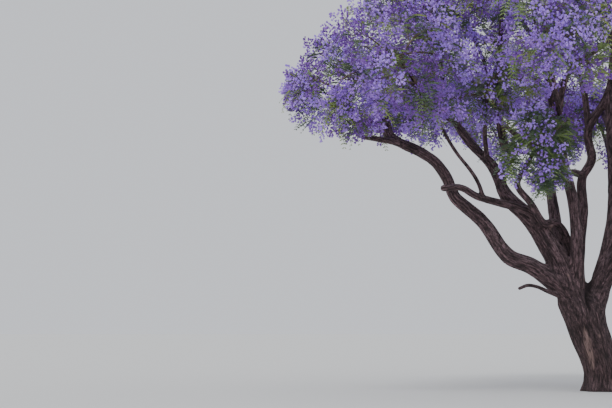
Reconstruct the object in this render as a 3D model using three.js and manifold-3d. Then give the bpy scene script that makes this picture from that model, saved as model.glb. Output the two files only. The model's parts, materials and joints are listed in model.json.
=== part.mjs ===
// A mature jacaranda in full bloom: a leaning trunk that forks low into two stems, long arching boughs,
// and a wide domed crown made of separate masses of twigs, feathery leaf sprays and violet blossom.
// Millimetres, +Z up. The origin is the middle of the flat cut at ground level. -X is the side of the tree
// that reaches over the road, and -Y is its front.
import * as THREE from "three";
import Module from "manifold-3d";

const wasm = await Module();
wasm.setup();

// Driving dimensions
const SEAM = 0.3; // clearance between two pieces that meet
const TRUNK_SIDES = 16;
const FORK_SIDES = 10;
const FORK_STEP = 560;
const LIMB_SIDES = [8, 6]; // of a bough, and of a thinner branch
const LIMB_STEP = 680; // spacing of a limb's rings
const BRANCH_BELOW = 100; // the root radius below which a limb is a branch
const STEM_SIDES = 4;
const TWIG_SIDES = 3;

// The trunk's column. Each station is height, sideways lean, half its width and half its depth.
const COLUMN = [
  [0, 0, 430, 410],
  [150, 0, 408, 392],
  [380, -10, 400, 378],
  [760, -105, 425, 385],
  [1140, -226, 452, 398],
  [1500, -350, 488, 412],
  [1800, -430, 512, 400],
  [2060, -500, 490, 345],
  [2230, -530, 330, 230],
];
const ROOT_LOBES = 6;
const ROOT_FLARE = 0.13; // the lobes' reach beyond the column at the ground, as a share of its half width
const ROOT_HEIGHT = 210; // the height in which the flare dies away

// The two stems of the fork, which belong to the trunk's own solid
const STEMS = [
  { through: [[-400, 0, 1500], [-540, 0, 1950], [-750, 0, 2480], [-1010, 0, 3030]], thick: [370, 265] },
  { through: [[-220, 0, 1500], [-150, 0, 1950], [-10, 0, 2420], [200, 0, 3030]], thick: [285, 235] },
];

// The crown's masses of foliage stand in tiers round an axis beside the trunk.
// turn is the bearing of a tier's first mass, in degrees from +X towards +Y.
const CROWN_AXIS = [-400, 100];
const TIERS = [
  { name: "skirt_mass", count: 10, ring: 5100, height: 7200, reach: [2050, 1650], turn: 0 },
  { name: "middle_mass", count: 7, ring: 3800, height: 9150, reach: [2050, 1650], turn: 180 },
  { name: "top_mass", count: 4, ring: 2050, height: 10650, reach: [1850, 1550], turn: 45 },
];
const LOOSE_MASSES = [
  { name: "crest_mass", centre: [-400, 100, 11150], reach: [1650, 1250] },
  { name: "road_tip_mass", centre: [-6050, -2050, 6500], reach: [1400, 1100] },
  { name: "hanging_mass", centre: [-1820, -2350, 5330], reach: [1050, 1150] },
  { name: "inner_left_mass", centre: [-2750, -1500, 6750], reach: [1450, 1050] },
  { name: "inner_right_mass", centre: [2200, 100, 6700], reach: [1450, 1150] },
  { name: "inner_rear_mass", centre: [-300, 2300, 6700], reach: [1400, 1150] },
];
const SPACE_MARGIN = 9; // how far a mass keeps from the plane that parts it from a neighbour
const TIER_WOBBLE = 260; // how far a mass strays from its even place in the tier

// The boughs. thick is the radius at each end, and taper is above 1 where a limb thins fastest near its root.
// through lists the crooks that a limb grows through.
// A limb without them grows in one sweep from its parent to the mass at its tip.
const LIMBS = [
  {
    name: "left_leader", from: "trunk", start: [-1010, 0, 3030], thick: [265, 60], taper: 1.7, to: "middle_mass_1",
    through: [[-1530, 100, 3880], [-2100, 300, 4500], [-2370, 500, 5190], [-2870, 600, 5740], [-3240, 600, 6300]],
  },
  {
    name: "road_bough", from: "trunk", start: [-610, 0, 2080], thick: [240, 115], taper: 2, to: "skirt_mass_6",
    through: [
      [-1230, -100, 2590], [-1640, -150, 2850], [-2140, -150, 3070], [-2700, 0, 3880], [-3050, 0, 4180],
      [-3340, 0, 4460], [-3510, 0, 4880], [-3770, -100, 5220], [-4140, -200, 5460], [-4830, -300, 5800],
    ],
  },
  {
    name: "front_upright", from: "trunk", start: [-560, -60, 2300], thick: [155, 60], to: "top_mass_3",
    through: [[-580, -230, 3000], [-600, -250, 3800], [-660, -250, 4350], [-880, -300, 5260], [-1120, -450, 6600]],
  },
  {
    name: "dark_upright", from: "trunk", start: [-450, 120, 2150], thick: [140, 55], to: "top_mass_4",
    through: [
      [-440, 280, 2900], [-390, 330, 3500], [-310, 350, 4150], [-310, 400, 4900], [-80, 400, 5350], [-150, 400, 6000],
      [280, 300, 6860],
    ],
  },
  {
    name: "right_leader", from: "trunk", start: [200, 0, 3030], thick: [235, 70], to: "top_mass_1",
    through: [[370, 80, 3850], [440, 200, 4550], [420, 220, 5400], [390, 220, 6200], [430, 300, 7200]],
  },
  {
    name: "rear_bough", from: "trunk", start: [-640, 160, 2500], thick: [170, 60], to: "skirt_mass_4",
    through: [[-860, 620, 3600], [-890, 930, 4200], [-900, 1500, 5000], [-1000, 2500, 5750]],
  },
  {
    name: "hooked_bough", from: "trunk", start: [-480, 60, 2500], thick: [115, 60], to: "hanging_mass",
    through: [
      [-600, 420, 3200], [-770, 350, 3660], [-1050, 20, 3850], [-1360, -330, 3830], [-1660, -560, 4230],
      [-2020, -900, 4620],
    ],
  },
  {
    name: "verge_bough", from: "trunk", start: [-10, 0, 2420], thick: [200, 75], to: "skirt_mass_1",
    through: [[560, 0, 3000], [1250, 60, 3380], [2050, 200, 4000], [2700, 200, 4450], [3300, 150, 5150]],
  },
  {
    name: "front_right_bough", from: "trunk", start: [60, -60, 2600], thick: [150, 60], to: "skirt_mass_9",
    through: [[330, -420, 3150], [640, -1150, 3850], [800, -2050, 4650], [950, -3100, 5500]],
  },
  {
    name: "crossing_bough", from: "left_leader", at: 0.1, thick: [100, 72],
    through: [
      [-1500, -180, 3900], [-1650, -270, 4060], [-1950, -340, 4160], [-2300, -420, 4250], [-2900, -560, 4410],
      [-3250, -560, 4600], [-3640, -560, 4590],
    ],
  },
  {
    name: "road_shoot", from: "crossing_bough", at: 0.66, thick: [46, 34], to: "skirt_mass_7",
    through: [[-2880, -640, 4730], [-3060, -740, 4990], [-3370, -950, 5330]],
  },
  {
    name: "road_prong", from: "road_bough", at: 0.9, thick: [76, 48], to: "road_tip_mass",
    through: [[-4960, -500, 5690], [-5230, -750, 5700], [-5560, -1200, 5720]],
  },
  {
    name: "upright_shoot", from: "left_leader", at: 0.4, thick: [112, 48], to: "middle_mass_2",
    through: [[-2130, 260, 5220], [-2110, 160, 5480], [-2200, 50, 5800], [-2330, -200, 6500]],
  },
  {
    name: "front_prong", from: "dark_upright", at: 0.36, thick: [85, 50], to: "skirt_mass_8",
    through: [[-560, 60, 5010], [-800, -350, 4980], [-1100, -1000, 5150], [-1300, -2300, 5900]],
  },
  {
    name: "low_branch", from: "trunk", start: [-880, -60, 2130], thick: [56, 34],
    through: [[-1080, -220, 2190], [-1280, -320, 2260], [-1530, -420, 2360], [-1760, -520, 2390], [-1960, -620, 2320]],
  },
  {
    name: "left_rear_bough", from: "left_leader", at: 0.56, thick: [85, 52], to: "skirt_mass_5",
    through: [[-3150, 1150, 6300]],
  },
  {
    name: "inner_left_branch", from: "left_leader", at: 0.52, thick: [62, 45], to: "inner_left_mass",
    through: [[-2620, 0, 5850]],
  },
  { name: "rear_left_riser", from: "rear_bough", at: 0.55, thick: [82, 48], to: "middle_mass_7" },
  { name: "inner_rear_branch", from: "rear_bough", at: 0.45, thick: [62, 45], to: "inner_rear_mass" },
  { name: "front_riser", from: "front_upright", at: 0.52, thick: [78, 48], to: "middle_mass_3" },
  { name: "rear_top_riser", from: "dark_upright", at: 0.5, thick: [78, 48], to: "top_mass_2" },
  { name: "crest_riser", from: "front_upright", at: 0.72, thick: [68, 45], to: "crest_mass" },
  { name: "front_right_riser", from: "right_leader", at: 0.35, thick: [90, 50], to: "middle_mass_4" },
  { name: "rear_right_riser", from: "right_leader", at: 0.45, thick: [88, 50], to: "middle_mass_5" },
  { name: "rear_riser", from: "right_leader", at: 0.27, thick: [95, 50], to: "middle_mass_6" },
  { name: "rear_right_bough", from: "right_leader", at: 0.12, thick: [130, 58], to: "skirt_mass_2" },
  { name: "far_rear_bough", from: "rear_right_bough", at: 0.3, thick: [90, 52], to: "skirt_mass_3" },
  { name: "verge_front_bough", from: "verge_bough", at: 0.42, thick: [105, 55], to: "skirt_mass_10" },
  { name: "inner_right_branch", from: "verge_bough", at: 0.36, thick: [70, 45], to: "inner_right_mass" },
];

// Growth inside a mass: a stem from the bough's tip, twigs that fan out from it, and sprays along each twig.
const STEM_SHARE = 0.62; // how far the stem runs towards the far side of its mass
const STEM_TIP = 22;
const TWIGS = 6;
const TWIG_REACH = 0.56; // where a twig ends, as a share of the mass's reach
const TWIG_THICK = [26, 13];
const SPRAYS_ON_TWIG = [0.4, 0.7, 1];
const SPRAY_TRIES = 6; // how often a spray is turned and made smaller before its place stays bare
const SPRAY_SHRINK = 0.9;
const LEAF_EVERY = 3; // of a twig's side sprays, how many there are to each one of leaves
const LEAF = { length: 1250, width: 580, depth: 40 };
const BLOSSOM = { length: 1000, width: 440, sides: 4 };
const JOINT_TIDY = 4; // detail smaller than this is smoothed away where sprays cross
const ROOT_SUNK = 0.7; // how far a root starts behind its place on the twig's axis, as a share of the radius

const BARK = new THREE.MeshStandardMaterial({ color: 0x4a403c, roughness: 0.95, metalness: 0 });
const FOLIAGE = new THREE.MeshStandardMaterial({ color: 0x7568c0, roughness: 0.8, metalness: 0 });

const tree = new THREE.Group();
const vector = (p) => new THREE.Vector3(...p);
const lerp = THREE.MathUtils.lerp;
const GOLDEN_ANGLE = Math.PI * (3 - Math.sqrt(5));

// A repeatable run of numbers from 0 to 1.
function dice(seed) {
  let state = seed;
  return () => {
    state = (state * 48271) % 2147483647;
    return state / 2147483647;
  };
}

// A closed solid from rings of points, with a flat fan at each end.
function shell(rings) {
  const sides = rings[0].length;
  const end = (rings.length - 1) * sides;
  const faces = [];
  for (let side = 0; side < sides; side++) {
    const next = (side + 1) % sides;
    for (let ring = 0; ring + 1 < rings.length; ring++) {
      const low = ring * sides;
      const high = low + sides;
      faces.push(low + side, low + next, high + next, low + side, high + next, high + side);
    }
    if (side > 0 && next > 0) faces.push(0, next, side, end, end + side, end + next);
  }
  return solid(rings.flat(), faces);
}

function solid(points, faces) {
  const vertProperties = new Float32Array(points.flatMap((p) => p.toArray()));
  const triVerts = new Uint32Array(faces);
  return new wasm.Manifold(new wasm.Mesh({ numProp: 3, vertProperties, triVerts }));
}

// A limb is a curve with a radius that tapers along it.
function limbAlong(points, thick, taper = 1) {
  const curve = new THREE.CatmullRomCurve3(points, false, "centripetal");
  const length = curve.getLength();
  return { curve, length, thick, radius: (share) => lerp(thick[1], thick[0], (1 - share) ** taper) };
}

// The solid of a limb, grown outwards by a clearance where it is used to cut another.
function limbSolid(limb, sides, step, grown = 0) {
  const count = Math.max(2, Math.round(limb.length / step));
  const { normals, binormals } = limb.curve.computeFrenetFrames(count);
  const rings = [];
  for (let ring = 0; ring <= count; ring++) {
    const share = ring / count;
    const centre = limb.curve.getPointAt(share);
    if (ring === 0 || ring === count) {
      centre.addScaledVector(limb.curve.getTangentAt(share), ring ? grown : -grown);
    }
    const radius = limb.radius(share) + grown;
    rings.push(
      Array.from({ length: sides }, (_, side) => {
        const angle = (2 * Math.PI * side) / sides;
        return centre
          .clone()
          .addScaledVector(normals[ring], radius * Math.cos(angle))
          .addScaledVector(binormals[ring], radius * Math.sin(angle));
      }),
    );
  }
  return shell(rings);
}

// The trunk: a leaning oval column on a lobed root flare, with the two stems of its fork.
function trunkSolid(grown = 0) {
  const rings = COLUMN.map(([height, lean, halfWidth, halfDepth]) => {
    const flare = ROOT_FLARE * Math.exp(-height / ROOT_HEIGHT);
    return Array.from({ length: TRUNK_SIDES }, (_, side) => {
      const angle = (2 * Math.PI * side) / TRUNK_SIDES;
      const swell = 1 + flare * (1 + 0.6 * Math.cos(ROOT_LOBES * angle + 1));
      const x = lean + (halfWidth * swell + grown) * Math.cos(angle);
      const y = (halfDepth * swell + grown) * Math.sin(angle);
      return new THREE.Vector3(x, y, height);
    });
  });
  const parts = STEMS.map((stem) => {
    const limb = limbAlong(stem.through.map(vector), stem.thick);
    return limbSolid(limb, FORK_SIDES, FORK_STEP, grown);
  });
  return parts.reduce((whole, part) => whole.add(part), shell(rings));
}

// The masses' own spaces: ellipsoids, parted by a plane wherever two would meet.
function crownMasses() {
  const masses = [];
  const roll = dice(4127);
  for (const tier of TIERS) {
    for (let place = 0; place < tier.count; place++) {
      const bearing = THREE.MathUtils.degToRad(tier.turn) + (2 * Math.PI * place) / tier.count;
      const stray = () => (2 * roll() - 1) * TIER_WOBBLE;
      const centre = new THREE.Vector3(
        CROWN_AXIS[0] + tier.ring * Math.cos(bearing) + stray(),
        CROWN_AXIS[1] + tier.ring * Math.sin(bearing) + stray(),
        tier.height + stray(),
      );
      masses.push({ name: `${tier.name}_${place + 1}`, centre, reach: tier.reach });
    }
  }
  for (const mass of LOOSE_MASSES) masses.push({ ...mass, centre: vector(mass.centre) });
  return masses;
}

const MASSES = crownMasses();
const massNamed = (name) => MASSES.find((mass) => mass.name === name);

// True where a point lies in a mass's own space: inside its ellipsoid, and on its side of every parting plane.
function isInSpace(mass, point) {
  const away = point.clone().sub(mass.centre);
  const level = Math.hypot(away.x, away.y) / mass.reach[0];
  if (Math.hypot(level, away.z / mass.reach[1]) > 1) return false;
  return MASSES.every((other) => {
    if (other === mass) return true;
    const across = other.centre.clone().sub(mass.centre);
    const split = (across.length() * mass.reach[0]) / (mass.reach[0] + other.reach[0]);
    return away.dot(across.normalize()) < split - SPACE_MARGIN;
  });
}

// A limb's curve: through its crooks, or in one sweep from its parent, up to the near side of its mass.
function limbCurve(row, parent) {
  const start = row.start ? vector(row.start) : parent.curve.getPointAt(row.at);
  const crooks = (row.through ?? []).map(vector);
  if (!row.to) return [start, ...crooks];
  const mass = massNamed(row.to);
  const previous = crooks.length ? crooks[crooks.length - 1] : start;
  const inward = previous.clone().sub(mass.centre);
  if (!crooks.length) inward.z -= 0.25 * inward.length();
  inward.normalize();
  const level = Math.hypot(inward.x, inward.y) / mass.reach[0];
  const tip = mass.centre.clone().addScaledVector(inward, 0.8 / Math.hypot(level, inward.z / mass.reach[1]));
  if (crooks.length) return [start, ...crooks, tip];
  const span = tip.distanceTo(start);
  const leaving = parent.curve.getTangentAt(row.at).addScaledVector(tip.clone().sub(start), 1.3 / span);
  const near = start.clone().addScaledVector(leaving.normalize(), 0.36 * span);
  const far = tip.clone().addScaledVector(inward, 0.2 * span);
  return [start, near, far, tip];
}

// The largest piece of a solid that cutting has parted.
function largest(body) {
  const pieces = body.decompose();
  return pieces.reduce((best, piece) => (piece.volume() > best.volume() ? piece : best));
}

function addNode(name, body, material) {
  const { vertProperties, triVerts } = body.getMesh();
  const geometry = new THREE.BufferGeometry();
  geometry.setAttribute("position", new THREE.BufferAttribute(vertProperties, 3));
  geometry.setIndex(new THREE.BufferAttribute(triVerts, 1));
  const mesh = new THREE.Mesh(geometry, material);
  mesh.name = name;
  tree.add(mesh);
}

// The wood, from the trunk outwards. Each limb is cut clear of all that it grows from or past.
addNode("trunk", trunkSolid(), BARK);
const limbs = {};
let woodGrown = trunkSolid(SEAM);
for (const row of LIMBS) {
  const limb = limbAlong(limbCurve(row, limbs[row.from]), row.thick, row.taper);
  const sides = LIMB_SIDES[row.thick[0] < BRANCH_BELOW ? 1 : 0];
  limbs[row.name] = limb;
  addNode(row.name, largest(limbSolid(limb, sides, LIMB_STEP).subtract(woodGrown)), BARK);
  woodGrown = woodGrown.add(limbSolid(limb, sides, LIMB_STEP, SEAM));
}

// Two directions square to a third.
function squareTo(direction) {
  const side = new THREE.Vector3(-direction.y, direction.x, 0);
  if (side.lengthSq() < 0.01) side.set(1, 0, 0);
  side.normalize();
  return [side, new THREE.Vector3().crossVectors(direction, side).normalize()];
}

// A leaf spray: a thin blade of eight faces, widest past its middle.
function leafPoints(root, along, size, tilt) {
  const [side, up] = squareTo(along);
  const across = side.multiplyScalar(Math.cos(tilt)).addScaledVector(up, Math.sin(tilt));
  const through = new THREE.Vector3().crossVectors(across, along);
  const at = (length, width, depth) =>
    root
      .clone()
      .addScaledVector(along, length * size)
      .addScaledVector(across, width * size)
      .addScaledVector(through, depth);
  const wide = 0.55 * LEAF.length;
  return [
    at(0, 0, 0), at(wide, LEAF.width / 2, 0), at(LEAF.length, 0, 0), at(wide, -LEAF.width / 2, 0),
    at(wide, 0, LEAF.depth / 2), at(wide, 0, -LEAF.depth / 2),
  ];
}
const LEAF_FACES = [0, 1, 4, 1, 2, 4, 2, 3, 4, 3, 0, 4, 1, 0, 5, 2, 1, 5, 3, 2, 5, 0, 3, 5];

// A blossom cluster: a four-sided spindle, widest near its root.
function blossomPoints(root, along, size) {
  const [side, up] = squareTo(along);
  const half = (BLOSSOM.width / 2) * size;
  const wide = root.clone().addScaledVector(along, 0.45 * BLOSSOM.length * size);
  const ring = Array.from({ length: BLOSSOM.sides }, (_, corner) => {
    const angle = (2 * Math.PI * corner) / BLOSSOM.sides;
    return wide.clone().addScaledVector(side, half * Math.cos(angle)).addScaledVector(up, half * Math.sin(angle));
  });
  return [root.clone(), ...ring, root.clone().addScaledVector(along, BLOSSOM.length * size)];
}
const BLOSSOM_FACES = Array.from({ length: BLOSSOM.sides }, (_, side) => {
  const corner = side + 1;
  const next = (corner % BLOSSOM.sides) + 1;
  return [0, next, corner, BLOSSOM.sides + 1, corner, next];
}).flat();

// The direction of a spray: outwards from the mass, turned to its own side of the twig.
function sprayDirection(limb, share, angle, centre) {
  const along = limb.curve.getTangentAt(share);
  const [side, up] = squareTo(along);
  const outward = limb.curve.getPointAt(share).sub(centre).normalize();
  const aside = share < 1 ? 0.9 : 0.4;
  return along
    .multiplyScalar(share < 1 ? 0.45 : 1)
    .addScaledVector(side, aside * Math.cos(angle))
    .addScaledVector(up, aside * Math.sin(angle))
    .addScaledVector(outward, 0.4)
    .normalize();
}

// One mass: stem, twigs and sprays fused together. What would leave the mass's space or touch a limb is skipped.
function growMass(mass, bough, seed) {
  const roll = dice(seed);
  const { centre, reach } = mass;
  const heading = bough.curve.getTangentAt(1);
  const foot = bough.curve.getPointAt(1).addScaledVector(heading, SEAM);
  const far = centre.clone().sub(foot).multiplyScalar(2 * STEM_SHARE);
  const bow = foot.clone().addScaledVector(heading, 0.4 * far.length());
  const stem = limbAlong([foot, bow, foot.clone().add(far)], [bough.thick[1], STEM_TIP]);
  let body = limbSolid(stem, STEM_SIDES, 700);
  const isClear = (part, points) =>
    points.every((point) => isInSpace(mass, point)) && part.intersect(woodGrown).isEmpty();

  for (let twig = 0; twig < TWIGS; twig++) {
    const level = 1 - (2 * (twig + 0.5)) / TWIGS;
    const turn = twig * GOLDEN_ANGLE + 2 * roll();
    const spread = Math.sqrt(1 - level * level);
    const target = new THREE.Vector3(
      centre.x + TWIG_REACH * reach[0] * spread * Math.cos(turn),
      centre.y + TWIG_REACH * reach[0] * spread * Math.sin(turn),
      centre.z + TWIG_REACH * reach[1] * level,
    );
    const root = stem.curve.getPointAt(0.3 + 0.65 * roll());
    const sprays = SPRAYS_ON_TWIG.map((share) => ({ share, size: 0.85 + 0.3 * roll(), tilt: 1.6 * (roll() - 0.5) }));
    const elbow = root.clone().lerp(target, 0.5).addScaledVector(heading, 0.12 * root.distanceTo(target));
    const limb = limbAlong([root, elbow, target], TWIG_THICK);
    const wood = limbSolid(limb, TWIG_SIDES, 1200);
    if (!isClear(wood, [elbow, target])) continue;
    body = body.add(wood);
    sprays.forEach(({ share, size, tilt }, place) => {
      const isLeaf = share < 1 && (twig + place) % LEAF_EVERY === 0;
      for (let attempt = 0; attempt < SPRAY_TRIES; attempt++) {
        const along = sprayDirection(limb, share, (twig + 3 * place + attempt) * GOLDEN_ANGLE, centre);
        const sprayRoot = limb.curve.getPointAt(share).addScaledVector(along, -ROOT_SUNK * limb.radius(share));
        const fitted = size * SPRAY_SHRINK ** attempt;
        const points = (isLeaf ? leafPoints : blossomPoints)(sprayRoot, along, fitted, tilt);
        const spray = solid(points, isLeaf ? LEAF_FACES : BLOSSOM_FACES);
        if (!isClear(spray, points.slice(1))) continue;
        body = body.add(spray);
        return;
      }
    });
  }
  return largest(body.asOriginal().simplify(JOINT_TIDY));
}

LIMBS.forEach((row, place) => {
  if (row.to) addNode(row.to, growMass(massNamed(row.to), limbs[row.name], 9001 + 37 * place), FOLIAGE);
});

export default tree;
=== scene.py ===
import json
import math

import bpy
import numpy as np
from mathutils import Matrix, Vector, noise

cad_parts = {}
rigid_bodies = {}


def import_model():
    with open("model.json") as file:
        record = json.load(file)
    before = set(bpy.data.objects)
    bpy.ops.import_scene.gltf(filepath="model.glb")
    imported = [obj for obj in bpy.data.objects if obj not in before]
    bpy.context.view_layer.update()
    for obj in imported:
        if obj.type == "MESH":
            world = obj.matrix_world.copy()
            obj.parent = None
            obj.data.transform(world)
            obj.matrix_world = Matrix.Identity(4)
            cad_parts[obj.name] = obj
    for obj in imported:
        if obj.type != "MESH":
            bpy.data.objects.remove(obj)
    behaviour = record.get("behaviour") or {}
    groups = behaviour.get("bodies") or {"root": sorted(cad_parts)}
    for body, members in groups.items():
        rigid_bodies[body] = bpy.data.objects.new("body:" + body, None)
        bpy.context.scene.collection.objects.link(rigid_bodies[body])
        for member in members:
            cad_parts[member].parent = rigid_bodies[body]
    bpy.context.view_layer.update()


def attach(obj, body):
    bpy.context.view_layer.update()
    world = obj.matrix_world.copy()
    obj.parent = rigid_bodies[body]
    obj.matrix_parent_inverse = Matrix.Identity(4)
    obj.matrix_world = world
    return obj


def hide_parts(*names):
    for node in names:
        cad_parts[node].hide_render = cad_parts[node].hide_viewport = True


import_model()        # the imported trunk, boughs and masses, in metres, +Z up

# The crown's plan. A jacaranda's crown is many separate masses of foliage, each at the end of its own
# bough. They stand in three tiers round an axis beside the trunk, with a few loose ones, and where two would
# meet a plane parts them.
CROWN_AXIS = (-0.40, 0.10)
TIERS = [  # name, count, ring radius, height, reach sideways and upwards, bearing of the first
    ("skirt_mass", 10, 5.10, 7.20, (2.05, 1.65), 0),
    ("middle_mass", 7, 3.80, 9.15, (2.05, 1.65), 180),
    ("top_mass", 4, 2.05, 10.65, (1.85, 1.55), 45),
]
LOOSE_MASSES = {
    "crest_mass": ((-0.40, 0.10, 11.15), (1.65, 1.25)),
    "road_tip_mass": ((-6.05, -2.05, 6.50), (1.40, 1.10)),
    "hanging_mass": ((-1.82, -2.35, 5.33), (1.05, 1.15)),
    "inner_left_mass": ((-2.75, -1.50, 6.75), (1.45, 1.05)),
    "inner_right_mass": ((2.20, 0.10, 6.70), (1.45, 1.15)),
    "inner_rear_mass": ((-0.30, 2.30, 6.70), (1.40, 1.15)),
}
TIER_WOBBLE = 0.26
TIER_SEED = 4127
SPACE_MARGIN = 0.009


class Dice:
    """A repeatable run of numbers from 0 to 1, the same as the solids were grown with."""

    FACTOR = 48271
    PRIME = 2147483647

    def __init__(self, seed):
        self.state = seed

    def roll(self):
        self.state = self.state * self.FACTOR % self.PRIME
        return self.state / self.PRIME


masses = {}
dice = Dice(TIER_SEED)
for name, count, ring, height, reach, turn in TIERS:
    for place in range(count):
        bearing = math.radians(turn) + 2 * math.pi * place / count
        even = (CROWN_AXIS[0] + ring * math.cos(bearing), CROWN_AXIS[1] + ring * math.sin(bearing), height)
        centre = [value + (2 * dice.roll() - 1) * TIER_WOBBLE for value in even]
        masses[f"{name}_{place + 1}"] = (np.array(centre), reach)
for name, (centre, reach) in LOOSE_MASSES.items():
    masses[name] = (np.array(centre), reach)


def in_space(name, points):
    """Which points lie in a mass's own space: inside its ellipsoid and on its side of each parting plane."""
    centre, reach = masses[name]
    away = points - centre
    inside = (away[:, 0] ** 2 + away[:, 1] ** 2) / reach[0] ** 2 + (away[:, 2] / reach[1]) ** 2 < 1
    for other, (other_centre, other_reach) in masses.items():
        if other != name:
            across = other_centre - centre
            span = np.linalg.norm(across)
            inside &= away @ (across / span) < span * reach[0] / (reach[0] + other_reach[0]) - SPACE_MARGIN
    return inside


# The trunk and boughs: one piece of living wood. The trunk is a leaning oval column on a low lobed root
# flare, and swells to a fork of two stems. Each bough tapers from its parent to the foliage that it carries,
# and runs on inside that as a stem.
COLUMN = np.array([  # height, sideways lean, half width, half depth
    (0.00, 0.000, 0.430, 0.410),
    (0.15, 0.000, 0.408, 0.392),
    (0.38, -0.010, 0.400, 0.378),
    (0.76, -0.105, 0.425, 0.385),
    (1.14, -0.226, 0.452, 0.398),
    (1.50, -0.350, 0.488, 0.412),
    (1.80, -0.430, 0.512, 0.400),
    (2.06, -0.500, 0.490, 0.345),
    (2.23, -0.530, 0.330, 0.230),
])
TRUNK_RADIUS = 0.45
ROOT_FLARE = 0.13
ROOT_HEIGHT = 0.21
ROOT_LOBES = 6
LOBE_DEPTH = 0.6
LOBE_TURN = 1
FORK = {  # the trunk's two stems, by the bough that each runs on as
    "left_leader": (
        [(-0.40, 0, 1.50), (-0.54, 0, 1.95), (-0.75, 0, 2.48), (-1.01, 0, 3.03)], (0.370, 0.265),
    ),
    "right_leader": (
        [(-0.22, 0, 1.50), (-0.15, 0, 1.95), (-0.01, 0, 2.42), (0.20, 0, 3.03)], (0.285, 0.235),
    ),
}
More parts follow.
